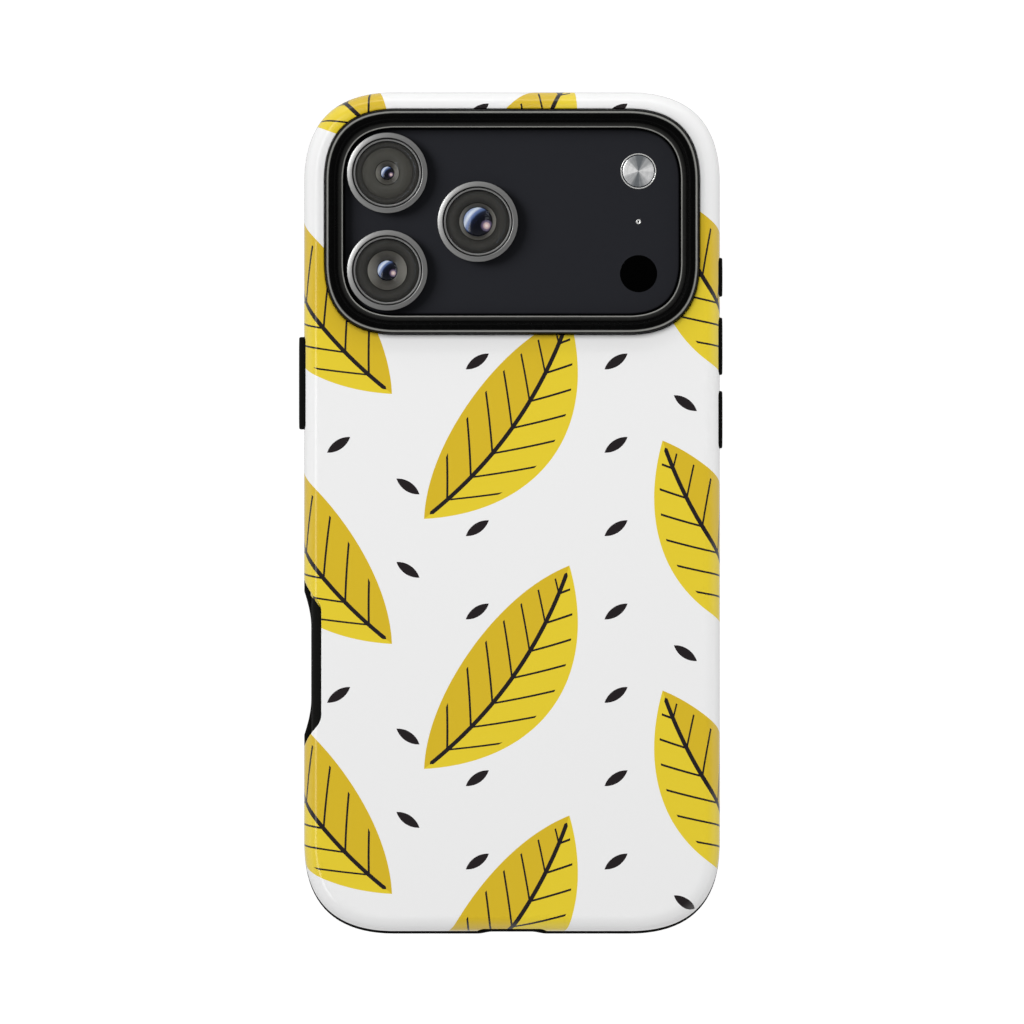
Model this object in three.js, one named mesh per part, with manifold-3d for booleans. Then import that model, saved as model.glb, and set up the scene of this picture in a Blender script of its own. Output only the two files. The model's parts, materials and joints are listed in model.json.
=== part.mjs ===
// A large phone in a two-layer protective case, lying on its screen with the back up.
//
// The case is a hard printed shell over a soft black liner. The liner wraps the phone, stands up as
// a rim round the camera plateau, carries the shell on a flange at the front, and has the button
// covers moulded into it. The phone inside is an aluminium unibody closed by a front glass.
//
// Millimetres. +Z points out of the back, +Y to the camera end, +X to the right as the back is seen.
// The origin is the middle of the footprint, on the surface that the front lip lies on.

import * as THREE from "three";
import { mergeVertices } from "three/addons/utils/BufferGeometryUtils.js";
import Module from "manifold-3d";

const wasm = await Module();
wasm.setup();

// Driving dimensions: the phone
const PHONE_WIDTH = 78;
const PHONE_LENGTH = 163.2;
const PHONE_THICKNESS = 8.8;
const PHONE_EDGE = 1.2;
const FRAME_WALL = 2.2;
const BACK_WALL = 1;
const GLASS_THICKNESS = 0.8;
const GLASS_INSET = 1.3;
const GLASS_PROUD = 0.15;

// Driving dimensions: the case
const FIT_GAP = 0.15;
const LINER_WALL = 0.95;
const SHELL_WALL = 1.35;
const LIP_HEIGHT = 0.85;
const LIP_OVERLAP = 0.9;
const FLANGE_HEIGHT = 2.2;
const FLANGE_EDGE = 0.4;
const SHELL_EDGE = 3;
const SHELL_SHORT = 0.6; // how much of the flange shows past the shell at the charging end
const CASE_CORNER = 18; // reach of the corner curve along each side

// Driving dimensions: the camera plateau and its rim
const PLATEAU_Y = 58.3;
const PLATEAU_HEIGHT = 2.6;
const PLATEAU_EDGE = 0.4;
const OPENING_WIDTH = 67.6;
const OPENING_LENGTH = 37.6;
const RIM_WIDTH = 3.64;
const RIM_BEAD = 2.1; // width of the high outer part of the rim
const RIM_HEIGHT = 2.4;
const RIM_STEP = 0.6; // how much lower the inner part of the rim is
const RIM_EDGE = 0.45;

// Levels above the surface that the case lies on
const PHONE_FRONT = LIP_HEIGHT + FIT_GAP;
const FRAME_FRONT = PHONE_FRONT + GLASS_PROUD;
const PHONE_BACK = PHONE_FRONT + PHONE_THICKNESS;
const PHONE_MIDDLE = (PHONE_FRONT + PHONE_BACK) / 2;
const LINER_BACK = PHONE_BACK + FIT_GAP + LINER_WALL;
const SHELL_BACK = LINER_BACK + FIT_GAP + SHELL_WALL;
const PLATEAU_TOP = PHONE_BACK + PLATEAU_HEIGHT;
const PLATEAU_ROOF = 1;
const PLATEAU_CEILING = PLATEAU_TOP - PLATEAU_ROOF;
const RIM_TOP = SHELL_BACK + RIM_HEIGHT;
const ROOM_FLOOR = PHONE_FRONT + 1.75; // the inner pieces lie above the display panel
const ROOM_CEILING = PHONE_BACK - BACK_WALL;

// Outline sizes, each one grown from the phone
const LINER_GROW = FIT_GAP + LINER_WALL;
const CASE_GROW = LINER_GROW + FIT_GAP + SHELL_WALL;
const CASE_WIDTH = PHONE_WIDTH + 2 * CASE_GROW;
const CASE_LENGTH = PHONE_LENGTH + 2 * CASE_GROW;
const CHARGING_END = -PHONE_LENGTH / 2;
const FAR = 60; // reach of a cutter that goes past everything

// Side buttons: the cover that the liner has over each, as seen on the back's left (-1) or right (+1)
const COVER_BOTTOM = 3.4;
const COVER_TOP = 8.2;
const COVER_EDGE = 0.35;
const SLOT_GAP = 0.35;
const SLOT_TOP = 10.75;
const BUTTON_PROUD = 0.35;
const BUTTON_SUNK = 0.75;
const BUTTON_HEIGHT = 2.8;
const BUTTONS = [
  { name: "side_button", side: -1, y: 26, length: 18.5, proud: 1 },
  { name: "action_button", side: 1, y: 47.2, length: 7.8, proud: 0.5 },
  { name: "volume_up_button", side: 1, y: 33.4, length: 11.5, proud: 0.5 },
  { name: "volume_down_button", side: 1, y: 18.7, length: 11.5, proud: 0.5 },
];

// The touch key on the back's left, and the finger scoop that leaves it clear
const SCOOP_Y = -30;
const SHELL_SCOOP = { length: 33.6, depth: 3.47, ease: 6.8, lead: 0.59, tail: 0.55, rise: 0.4 };
const LINER_SCOOP = { length: 28.7, depth: 1.39, ease: 7.1, lead: 0.28, tail: 0.65, rise: 0.48 };
const TOUCH_KEY = { length: 19, height: 3.4, sunk: 0.8 };
const TOUCH_WINDOW = { length: 21.6, height: 6 };

// The charging end: socket, cut-out in the case, and the sound slots beside it
const PORT = { width: 8.5, height: 2.7, depth: 7, wall: 0.35, tongue: 0.7 };
const PORT_CUTOUT = { width: 12.8, height: 6.4 };
const PORT_RECESS = { length: 13.8, depth: 0.4, ease: 3 };
const SOUND_SLOT = { x: 19, width: 15, height: 3 };
const SOUND_HOLE = { radius: 0.6, pitch: 2.4, count: 5 };
const END_SCREW = { x: 5.7, radius: 0.7, length: 3 };

// Cameras, measured from the middle of the plateau
const LENS_RING = { radius: 8.05, inner: 6.75, ledge: 6.1, height: 1.9, edge: 0.35, fall: 0.3 };
const LENS_GLASS = { thickness: 0.6, below: 1.15 };
const CAMERAS = [
  { name: "ultrawide", x: -24.95, y: 9.75, element: 1.25, halo: 2.45 },
  { name: "tele", x: -24.95, y: -9.75, element: 1.95, halo: 4.05 },
  { name: "main", x: -6.85, y: 0, element: 2.9, halo: 3.8 },
];
const BARREL = { radius: 5.8, hole: 6, block: 13.5, blockBottom: 4, face: 0.45 };
const SENSOR_X = 25.3;
const FLASH = { y: 10.1, radius: 3.65, bezel: 0.35 };
const MICROPHONE = { y: 0, radius: 0.5, hole: 0.18 };
const DEPTH_SENSOR = { y: -10.4, radius: 3.65 };
const INSERT_FLANGE = { grow: 0.6, thickness: 0.7 };

// How finely things are divided: steps per corner and per rounded rim, and round a turned piece
const LARGE = { corner: 7, rim: 3 };
const SMALL = { corner: 3, rim: 2 };
const ROUND_STEPS = 28;

// Finishes
const finish = (color, roughness, metalness = 0) =>
  new THREE.MeshStandardMaterial({ color, roughness, metalness });
const PRINTED_SHELL = finish("#eeeeec", 0.22);
const LINER_RUBBER = finish("#0d0d0d", 0.38);
const ANODISED = finish("#26272b", 0.5, 0.6);
const BACK_PANEL = finish("#1d1e22", 0.35);
const SCREEN_GLASS = finish("#060607", 0.05);
const DISPLAY = finish("#0b0b0d", 0.3);
const BUTTON_METAL = finish("#2a2b2f", 0.4, 0.7);
const RING_METAL = finish("#8f8f8e", 0.3, 0.9);
const COVER_GLASS = finish("#3b3a36", 0.06);
const BARREL_BLACK = finish("#45433e", 0.6);
const LENS = finish("#10121c", 0.04);
const FLASH_SILVER = finish("#b7bbbd", 0.3, 0.8);
const BLACK_WINDOW = finish("#020202", 0.15);
const SCREW_STEEL = finish("#5a5b5e", 0.35, 0.9);
const CELL_POUCH = finish("#2b2b2d", 0.6);
const BOARD = finish("#123a2a", 0.6);
const COPPER = finish("#a8643a", 0.4, 0.9);
const MODULE_BLACK = finish("#17181a", 0.7);

// Shapes

// How far the handles of a corner curve stay from the sharp corner, as a share of its reach
const SMOOTH = 0.335; // bends gently at first, as the outlines of the phone and the case do
const CIRCULAR = 0.448;

// A rectangle whose corners are one curve each, reaching the same way along both sides.
function outline(width, length, reach, cx = 0, cy = 0, bend = SMOOTH) {
  const pull = reach * bend;
  const right = cx + width / 2;
  const left = cx - width / 2;
  const top = cy + length / 2;
  const bottom = cy - length / 2;
  return new THREE.Shape()
    .moveTo(left + reach, bottom)
    .lineTo(right - reach, bottom)
    .bezierCurveTo(right - pull, bottom, right, bottom + pull, right, bottom + reach)
    .lineTo(right, top - reach)
    .bezierCurveTo(right, top - pull, right - pull, top, right - reach, top)
    .lineTo(left + reach, top)
    .bezierCurveTo(left + pull, top, left, top - pull, left, top - reach)
    .lineTo(left, bottom + reach)
    .bezierCurveTo(left, bottom + pull, left + pull, bottom, left + reach, bottom);
}

// The phone's own outline, grown outwards or, with a negative number, inwards.
const grownPhone = (grow) =>
  outline(PHONE_WIDTH + 2 * grow, PHONE_LENGTH + 2 * grow, CASE_CORNER - CASE_GROW + grow);

// The camera opening's outline, grown outwards or inwards.
const grownOpening = (grow) =>
  outline(
    OPENING_WIDTH + 2 * grow,
    OPENING_LENGTH + 2 * grow,
    CASE_CORNER - CASE_GROW - RIM_WIDTH - LINER_GROW + grow,
    0,
    PLATEAU_Y,
  );

// A slot with plain round corners, in its own plane.
const slot = (width, height, radius, cx = 0, cy = 0) =>
  outline(width, height, Math.min(radius, width / 2, height / 2), cx, cy, CIRCULAR);

// A shape pulled up from one level to another, with both its rims rounded by the edge radius.
function slab(shape, low, high, edge = 0, steps = LARGE) {
  return new THREE.ExtrudeGeometry(shape, {
    depth: high - low - 2 * edge,
    curveSegments: steps.corner,
    bevelEnabled: edge > 0,
    bevelThickness: edge,
    bevelSize: edge,
    bevelOffset: -edge,
    bevelSegments: steps.rim,
  }).translate(0, 0, low + edge);
}

const smallSlab = (shape, low, high, edge = 0) => slab(shape, low, high, edge, SMALL);

// Turns a slab so that its own X, Y and Z run along the part's Y, Z and X: for the side walls.
const X = new THREE.Vector3(1, 0, 0);
const Y = new THREE.Vector3(0, 1, 0);
const Z = new THREE.Vector3(0, 0, 1);
const throughSide = (geometry) => geometry.applyMatrix4(new THREE.Matrix4().makeBasis(Y, Z, X));

// Turns a slab so that its own X, Y and Z run along the part's X, Z and -Y: for the charging end.
const throughEnd = (geometry) =>
  geometry.applyMatrix4(new THREE.Matrix4().makeBasis(X, Z, Y.clone().negate()));

// A round piece from its half section, given as [radius, level] points that close on themselves.
const turned = (section, steps = ROUND_STEPS) =>
  new THREE.LatheGeometry(
    [...section, section[0]].map(([radius, level]) => new THREE.Vector2(radius, level)),
    steps,
  );

// Lathe geometry stands along Y: this stands it along Z.
const upright = (geometry) => geometry.rotateX(Math.PI / 2);

const roundPeg = (radius, low, high, x = 0, y = 0, steps = ROUND_STEPS) =>
  upright(new THREE.CylinderGeometry(radius, radius, high - low, steps)).translate(x, y, (low + high) / 2);

const block = (width, length, low, high, x = 0, y = 0) =>
  new THREE.BoxGeometry(width, length, high - low).translate(x, y, (low + high) / 2);

// Solids

function solid(geometry) {
  const bare = geometry.clone();
  bare.deleteAttribute("normal");
  bare.deleteAttribute("uv");
  const merged = mergeVertices(bare, 1e-4);
  return new wasm.Manifold(
    new wasm.Mesh({
      numProp: 3,
      vertProperties: merged.attributes.position.array,
      triVerts: new Uint32Array(merged.index.array),
    }),
  );
}

const join = (...geometries) => geometries.map(solid).reduce((whole, piece) => whole.add(piece));
const cut = (body, ...geometries) => geometries.map(solid).reduce((left, piece) => left.subtract(piece), body);

function geometryOf(body) {
  const { vertProperties, triVerts, numProp } = body.getMesh();
  const points = new Float32Array((vertProperties.length / numProp) * 3);
  for (let i = 0; i < points.length / 3; i += 1) {
    points.set(vertProperties.slice(i * numProp, i * numProp + 3), i * 3);
  }
  const geometry = new THREE.BufferGeometry();
  geometry.setAttribute("position", new THREE.BufferAttribute(points, 3));
  geometry.setIndex([...triVerts]);
  geometry.computeVertexNormals();
  return geometry;
}

function piece(name, form, material) {
  const mesh = new THREE.Mesh(form.isBufferGeometry ? form : geometryOf(form), material);
  mesh.name = name;
  return mesh;
}

// The case

// A bay cut into an edge: it eases in from the edge to its full depth and back out again. The handles
// of the easing curve lie at the lead and the tail, as shares of its length, and the first one at the
// rise, as a share of its depth.
function bay({ length, depth, ease, lead = 1 / 3, tail = 2 / 3, rise = 0 }) {
  const half = length / 2;
  const outside = -3;
  return new THREE.Shape()
    .moveTo(outside, -half)
    .lineTo(0, -half)
    .bezierCurveTo(depth * rise, ease * lead - half, depth, ease * tail - half, depth, ease - half)
    .lineTo(depth, half - ease)
    .bezierCurveTo(depth, half - ease * tail, depth * rise, half - ease * lead, 0, half)
    .lineTo(outside, half);
}

const scoop = (size) => slab(bay(size), -FAR, FAR).translate(-CASE_WIDTH / 2, SCOOP_Y, 0);

const portRecess = () =>
  slab(bay(PORT_RECESS), -FAR, FAR)
    .rotateZ(Math.PI / 2)
    .translate(0, -CASE_LENGTH / 2, 0);

// A window through one side wall or the charging end, given in the wall's own plane.
const sideWindow = (shape, side) => throughSide(smallSlab(shape, 0, FAR)).translate(side > 0 ? 0 : -FAR, 0, 0);
const endWindow = (shape) => throughEnd(smallSlab(shape, 0, 2 * FAR));

const touchWindow = () =>
  sideWindow(slot(TOUCH_WINDOW.length, TOUCH_WINDOW.height, 3, SCOOP_Y, PHONE_MIDDLE), -1);
const portWindow = () => endWindow(slot(PORT_CUTOUT.width, PORT_CUTOUT.height, 3.2, 0, PHONE_MIDDLE));
const soundWindow = (side) =>
  endWindow(slot(SOUND_SLOT.width, SOUND_SLOT.height, 1.5, side * SOUND_SLOT.x, PHONE_MIDDLE));

// The shell's slots run up from its front edge.
const upSlot = (centre, width, top) => slot(width, top, 1.4, centre, top / 2);
const buttonSlot = ({ side, y, length }) => sideWindow(upSlot(y, length + 2 * SLOT_GAP, SLOT_TOP), side);
const endSlot = (centre, width, top) => endWindow(upSlot(centre, width, top));

function outerShell() {
  const length = CASE_LENGTH - SHELL_SHORT;
  const skin = outline(CASE_WIDTH, length, CASE_CORNER, 0, SHELL_SHORT / 2);
  const front = FLANGE_HEIGHT + FIT_GAP;
  return cut(
    join(slab(skin, front - 2 * SHELL_EDGE, SHELL_BACK, SHELL_EDGE)),
    slab(outline(FAR * 2, FAR * 4, 1), -FAR, front),
    slab(grownPhone(LINER_GROW + FIT_GAP), -FAR / 2, LINER_BACK + FIT_GAP, SHELL_EDGE - SHELL_WALL),
    slab(grownOpening(RIM_WIDTH + FIT_GAP), LINER_BACK, FAR),
    scoop(SHELL_SCOOP),
    ...BUTTONS.map(buttonSlot),
    endSlot(0, PORT_RECESS.length, SLOT_TOP + 0.2),
    endSlot(SOUND_SLOT.x, SOUND_SLOT.width + 2, SLOT_TOP - 2),
    endSlot(-SOUND_SLOT.x, SOUND_SLOT.width + 2, SLOT_TOP - 2),
  );
}

const ring = (outer, inner, low, high, edge) => {
  const shape = grownOpening(outer);
  shape.holes.push(grownOpening(inner));
  return slab(shape, low, high, edge);
};

function buttonCover({ side, y, length, proud }) {
  const height = COVER_TOP - COVER_BOTTOM;
  const shape = slot(length, height, 0.8, y, (COVER_TOP + COVER_BOTTOM) / 2);
  const inner = PHONE_WIDTH / 2 + FIT_GAP + LINER_WALL / 2;
  const outer = CASE_WIDTH / 2 + proud;
  return throughSide(
    side > 0 ? smallSlab(shape, inner, outer, COVER_EDGE) : smallSlab(shape, -outer, -inner, COVER_EDGE),
  );
}

// A pocket inside the liner's wall for a button that stands proud of the phone.
const buttonPocket = ({ side, y, length }) => {
  const shape = slot(length + SLOT_GAP, BUTTON_HEIGHT + 2 * SLOT_GAP, 1, y, PHONE_MIDDLE);
  const reach = PHONE_WIDTH / 2 + BUTTON_PROUD + FIT_GAP;
  return throughSide(side > 0 ? smallSlab(shape, 0, reach) : smallSlab(shape, -reach, 0));
};

function innerLiner() {
  const flange = outline(CASE_WIDTH, CASE_LENGTH, CASE_CORNER);
  const linerEdge = SHELL_EDGE - SHELL_WALL - FIT_GAP;
  const tray = slab(grownPhone(LINER_GROW), FIT_GAP, LINER_BACK, linerEdge);
  const body = join(
    slab(flange, 0, FLANGE_HEIGHT, FLANGE_EDGE),
    tray,
    ring(RIM_WIDTH, RIM_WIDTH - RIM_BEAD, PHONE_BACK + 1, RIM_TOP, RIM_EDGE),
    ring(RIM_WIDTH - RIM_BEAD + RIM_EDGE, 0, PHONE_BACK, RIM_TOP - RIM_STEP, RIM_EDGE / 2),
    ...BUTTONS.map(buttonCover),
  );
  return cut(
    body,
    slab(grownPhone(FIT_GAP), LIP_HEIGHT, PHONE_BACK + FIT_GAP, linerEdge - LINER_WALL),
    slab(grownPhone(-LIP_OVERLAP), -FAR, PHONE_MIDDLE),
    slab(grownOpening(0), PHONE_MIDDLE, FAR),
    scoop(LINER_SCOOP),
    touchWindow(),
    portRecess(),
    portWindow(),
    soundWindow(1),
    soundWindow(-1),
    ...BUTTONS.map(buttonPocket),
  );
}

// The phone's shell

const wallSeat = (side, length, height, y, depth) => {
  const shape = slot(length, height, height / 2, y, PHONE_MIDDLE);
  const wall = PHONE_WIDTH / 2;
  return throughSide(side > 0 ? smallSlab(shape, wall - depth, FAR) : smallSlab(shape, -FAR, depth - wall));
};

const soundHoles = (side) =>
  Array.from({ length: SOUND_HOLE.count }, (_, i) => {
    const x = side * SOUND_SLOT.x + (i - (SOUND_HOLE.count - 1) / 2) * SOUND_HOLE.pitch;
    const shape = new THREE.Shape().absarc(x, PHONE_MIDDLE, SOUND_HOLE.radius, 0, 2 * Math.PI);
    return throughEnd(smallSlab(shape, -CHARGING_END - FRAME_WALL - 1, FAR * 2));
  });

const backPanelShape = (grow) => outline(66 + 2 * grow, 104 + 2 * grow, 9 + grow, 0, -22);
const BACK_PANEL_DEPTH = 0.6;

function phoneEnclosure() {
  const plateau = slab(grownOpening(-0.22), ROOM_CEILING, PLATEAU_TOP, PLATEAU_EDGE);
  return cut(
    join(slab(grownPhone(0), FRAME_FRONT, PHONE_BACK, PHONE_EDGE), plateau),
    slab(grownPhone(-GLASS_INSET), -FAR, FRAME_FRONT + GLASS_THICKNESS),
    slab(grownPhone(-FRAME_WALL), 0, ROOM_CEILING),
    slab(grownOpening(-1.8), PHONE_MIDDLE, PLATEAU_CEILING),
    slab(backPanelShape(0.1), PHONE_BACK - BACK_PANEL_DEPTH, FAR),
    ...CAMERAS.map(({ x, y }) => roundPeg(BARREL.hole, PHONE_MIDDLE, FAR, x, PLATEAU_Y + y)),
    roundPeg(FLASH.radius + 0.1, PHONE_MIDDLE, FAR, SENSOR_X, PLATEAU_Y + FLASH.y),
    roundPeg(MICROPHONE.radius + 0.1, PHONE_MIDDLE, FAR, SENSOR_X, PLATEAU_Y + MICROPHONE.y, 16),
    roundPeg(DEPTH_SENSOR.radius + 0.1, PHONE_MIDDLE, FAR, SENSOR_X, PLATEAU_Y + DEPTH_SENSOR.y),
    ...BUTTONS.map(({ side, y, length }) =>
      wallSeat(side, length - 1.3, BUTTON_HEIGHT + 0.2, y, BUTTON_SUNK + 0.1)),
    wallSeat(-1, TOUCH_KEY.length + 0.2, TOUCH_KEY.height + 0.2, SCOOP_Y, TOUCH_KEY.sunk + 0.1),
    endWindow(slot(PORT.width + 0.9, PORT.height + 0.9, 1.8, 0, PHONE_MIDDLE)),
    ...soundHoles(1),
    ...soundHoles(-1),
    ...[1, -1].map((side) => endWindow(slot(1.6, 1.6, 0.8, side * END_SCREW.x, PHONE_MIDDLE))),
  );
}

function frontGlass() {
  const edge = 0.25;
  const back = PHONE_FRONT + GLASS_THICKNESS;
  return slab(grownPhone(-GLASS_INSET - 0.1), PHONE_FRONT, back, edge);
}

const displayPanel = () =>
  slab(grownPhone(-FRAME_WALL - 0.2), PHONE_FRONT + GLASS_THICKNESS + 0.2, ROOM_FLOOR - 0.1);

const wallKey = (side, length, height, y, sunk, proud) => {
  const shape = slot(length, height, height / 2, y, PHONE_MIDDLE);
  const inner = PHONE_WIDTH / 2 - sunk;
  const outer = PHONE_WIDTH / 2 + proud;
  const edge = Math.min(0.3, proud + 0.1);
  return throughSide(side > 0 ? smallSlab(shape, inner, outer, edge) : smallSlab(shape, -outer, -inner, edge));
};

// Cameras and sensors, each made about its own axis and placed by its group

function lensRing() {
  const { radius, inner, ledge, height, edge, fall } = LENS_RING;
  const seat = height - LENS_GLASS.below;
  return upright(
    turned([
      [ledge, 0.02], [radius, 0.02], [radius, height - fall - edge / 2], [radius - edge / 2, height - fall],
      [inner + edge / 2, height], [inner, height - edge / 2], [inner, seat], [ledge, seat],
    ]),
  );
}

function lensGlass() {
  const low = LENS_RING.height - LENS_GLASS.below + 0.05;
  return roundPeg(LENS_RING.inner - 0.1, low, low + LENS_GLASS.thickness);
}

// A square sensor block with a barrel that stands through the plateau; its front dishes in to the lens.
function cameraModule({ element, halo }) {
  const ceiling = ROOM_CEILING - PLATEAU_TOP - 0.1;
  const seat = element + 0.1;
  const dish = upright(turned([[0, -1], [seat, -1], [seat, 0.1], [halo, BARREL.face], [halo, 2], [0, 2]]));
  return cut(
    join(
      block(BARREL.block, BARREL.block, BARREL.blockBottom - PLATEAU_TOP, ceiling),
      roundPeg(BARREL.radius, ceiling - 1, BARREL.face),
    ),
    dish,
  );
}

function frontElement({ element }) {
  const dome = element * 0.18;
  const arc = [1, 0.8, 0.55, 0.28, 0].map((share) => [element * share, dome * (1 - share * share)]);
  return upright(turned([[0, -0.9], [element, -0.9], ...arc.slice(0, -1), [0, dome]], 24));
}

// A round piece that shows in a hole of the plateau and is held by a flange under its roof.
function insert(radius, top, inner = 0, steps = ROUND_STEPS) {
  const under = PLATEAU_CEILING - PLATEAU_TOP - 0.05;
  const wide = radius + INSERT_FLANGE.grow;
  const low = under - INSERT_FLANGE.thickness;
  const section = [[inner, low], [wide, low], [wide, under], [radius, under], [radius, top], [inner, top]];
  return upright(turned(section, steps));
}

// A stepped round lens, whose rings stand a little above each other.
function flashLens() {
  const radius = FLASH.radius - FLASH.bezel - 0.05;
  const low = PLATEAU_CEILING - PLATEAU_TOP;
  const steps = [1, 0.75, 0.5, 0.25].flatMap((share, i) => [
    [radius * share, -0.12 + i * 0.04],
    [radius * (share - 0.18), -0.06 + i * 0.04],
  ]);
  return upright(turned([[0, low], [radius, low], ...steps, [0, 0.07]]));
}

function cameraGroup(camera) {
  const group = new THREE.Group();
  group.position.set(camera.x, camera.y, 0);
  group.add(
    piece(`${camera.name}_lens_ring`, lensRing(), RING_METAL),
    piece(`${camera.name}_cover_glass`, lensGlass(), COVER_GLASS),
    piece(`${camera.name}_camera_module`, cameraModule(camera), BARREL_BLACK),
    piece(`${camera.name}_front_element`, frontElement(camera), LENS),
  );
  return group;
}

function sensorGroup() {
  const group = new THREE.Group();
  group.position.x = SENSOR_X;
  const bezel = piece("flash_bezel", insert(FLASH.radius, 0.08, FLASH.radius - FLASH.bezel), FLASH_SILVER);
  const lens = piece("flash_lens", flashLens(), FLASH_SILVER);
  const grommet = insert(MICROPHONE.radius, 0.03, MICROPHONE.hole, 16);
  const microphone = piece("microphone_grommet", grommet, FLASH_SILVER);
  const window = piece("depth_sensor_window", insert(DEPTH_SENSOR.radius, 0.04), BLACK_WINDOW);
  bezel.position.y = FLASH.y;
  lens.position.y = FLASH.y;
  microphone.position.y = MICROPHONE.y;
  window.position.y = DEPTH_SENSOR.y;
  group.add(bezel, lens, microphone, window);
  return group;
}

// Pieces inside the phone

function chargingSocket() {
  const grow = 2 * PORT.wall;
  const front = -CHARGING_END - FIT_GAP;
  const sleeve = slot(PORT.width + grow, PORT.height + grow, 1.7, 0, PHONE_MIDDLE);
  const body = smallSlab(sleeve, front - PORT.depth, front);
  const bore = smallSlab(slot(PORT.width, PORT.height, 1.35, 0, PHONE_MIDDLE), front - PORT.depth + 1, FAR * 2);
  const tongue = smallSlab(slot(6.6, PORT.tongue, 0.3, 0, PHONE_MIDDLE), front - PORT.depth + 0.5, front - 0.6);
  return cut(join(throughEnd(body)), throughEnd(bore)).add(solid(throughEnd(tongue)));
}

const endScrew = (side) => {
  const front = -CHARGING_END - 0.1;
  const shape = new THREE.Shape().absarc(side * END_SCREW.x, PHONE_MIDDLE, END_SCREW.radius, 0, 2 * Math.PI);
  return throughEnd(smallSlab(shape, front - END_SCREW.length, front, 0.15));
};

const chargingCoil = () =>
  upright(turned([[15, 8], [24, 8], [24, 8.6], [15, 8.6]])).translate(0, -8, 0);

function frontCamera() {
  const top = ROOM_FLOOR + 4;
  return upright(turned([[0, ROOM_FLOOR], [2, ROOM_FLOOR], [2, top], [0, top]], 20)).translate(0, 73, 0);
}

// The assembly

const plateau = new THREE.Group();
plateau.position.set(0, PLATEAU_Y, PLATEAU_TOP);
plateau.add(...CAMERAS.map(cameraGroup), sensorGroup());

const phone = new THREE.Group();
phone.add(
  piece("phone_enclosure", phoneEnclosure(), ANODISED),
  piece("back_glass", slab(backPanelShape(0), PHONE_BACK - BACK_PANEL_DEPTH + 0.05, PHONE_BACK), BACK_PANEL),
  piece("front_glass", frontGlass(), SCREEN_GLASS),
  piece("display_panel", displayPanel(), DISPLAY),
  ...BUTTONS.map(({ name, side, y, length }) =>
    piece(name, wallKey(side, length - 1.5, BUTTON_HEIGHT, y, BUTTON_SUNK, BUTTON_PROUD), BUTTON_METAL)),
  piece("touch_key", wallKey(-1, TOUCH_KEY.length, TOUCH_KEY.height, SCOOP_Y, TOUCH_KEY.sunk, 0), BLACK_WINDOW),
  piece("charging_socket", chargingSocket(), SCREW_STEEL),
  piece("end_screw_left", endScrew(-1), SCREW_STEEL),
  piece("end_screw_right", endScrew(1), SCREW_STEEL),
  piece("battery", block(46, 84, ROOM_FLOOR + 0.2, 7.7, 11.5, -14), CELL_POUCH),
  piece("main_board", block(21, 92, ROOM_FLOOR + 0.2, 5.6, -24.5, -8), BOARD),
  piece("charging_coil", chargingCoil(), COPPER),
  piece("loudspeaker", block(24, 14, ROOM_FLOOR + 0.2, 7.7, 20, -70), MODULE_BLACK),
  piece("vibration_motor", block(24, 10, ROOM_FLOOR + 0.2, 7, -20, -70), MODULE_BLACK),
  piece("earpiece_speaker", block(14, 4, ROOM_FLOOR + 0.2, 6, 12, 76), MODULE_BLACK),
  piece("front_camera", frontCamera(), BARREL_BLACK),
  plateau,
);

const casedPhone = new THREE.Group();
casedPhone.add(
  piece("outer_shell", outerShell(), PRINTED_SHELL),
  piece("inner_liner", innerLiner(), LINER_RUBBER),
  phone,
);

export default casedPhone;
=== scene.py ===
"""A large phone in a two-layer protective case, lying on its screen with the back up.

The pieces are given in millimetres in the CAD frame: +Z out of the back, +Y to the camera end, +X to
the right as the back is seen. They follow the order in which the phone and then the case go together.
"""
import json

import bpy
import numpy as np
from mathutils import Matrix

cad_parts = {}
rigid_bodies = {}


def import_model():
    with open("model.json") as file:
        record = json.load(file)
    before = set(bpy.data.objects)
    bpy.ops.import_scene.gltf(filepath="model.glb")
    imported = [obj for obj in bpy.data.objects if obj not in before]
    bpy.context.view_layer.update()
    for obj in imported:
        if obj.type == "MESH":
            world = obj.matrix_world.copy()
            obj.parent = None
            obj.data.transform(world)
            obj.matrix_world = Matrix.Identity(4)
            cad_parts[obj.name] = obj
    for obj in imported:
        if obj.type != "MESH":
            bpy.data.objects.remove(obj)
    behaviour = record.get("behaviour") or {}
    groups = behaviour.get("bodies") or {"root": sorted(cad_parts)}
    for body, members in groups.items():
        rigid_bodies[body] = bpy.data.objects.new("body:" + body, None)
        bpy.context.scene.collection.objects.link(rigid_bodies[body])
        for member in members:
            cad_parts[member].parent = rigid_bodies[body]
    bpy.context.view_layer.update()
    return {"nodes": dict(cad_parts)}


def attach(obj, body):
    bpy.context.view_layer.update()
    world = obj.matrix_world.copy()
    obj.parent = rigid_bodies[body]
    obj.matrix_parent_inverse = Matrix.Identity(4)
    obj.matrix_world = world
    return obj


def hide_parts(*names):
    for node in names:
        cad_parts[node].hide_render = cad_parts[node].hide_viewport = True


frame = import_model()


# Phone enclosure: one machined aluminium body, bead-blasted and anodised dark. It is a tray with the
# camera plateau standing on its back; the front glass closes it, and the keys and the charging socket
# show in windows of its wall.

def linear(hex_colour):
    """A colour given as sRGB hex, as the linear RGBA that a shader takes."""
    parts = np.array([int(hex_colour[i:i + 2], 16) for i in (1, 3, 5)]) / 255
    light = np.where(parts <= 0.04045, parts / 12.92, ((parts + 0.055) / 1.055) ** 2.4)
    return (*light.tolist(), 1.0)


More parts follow.
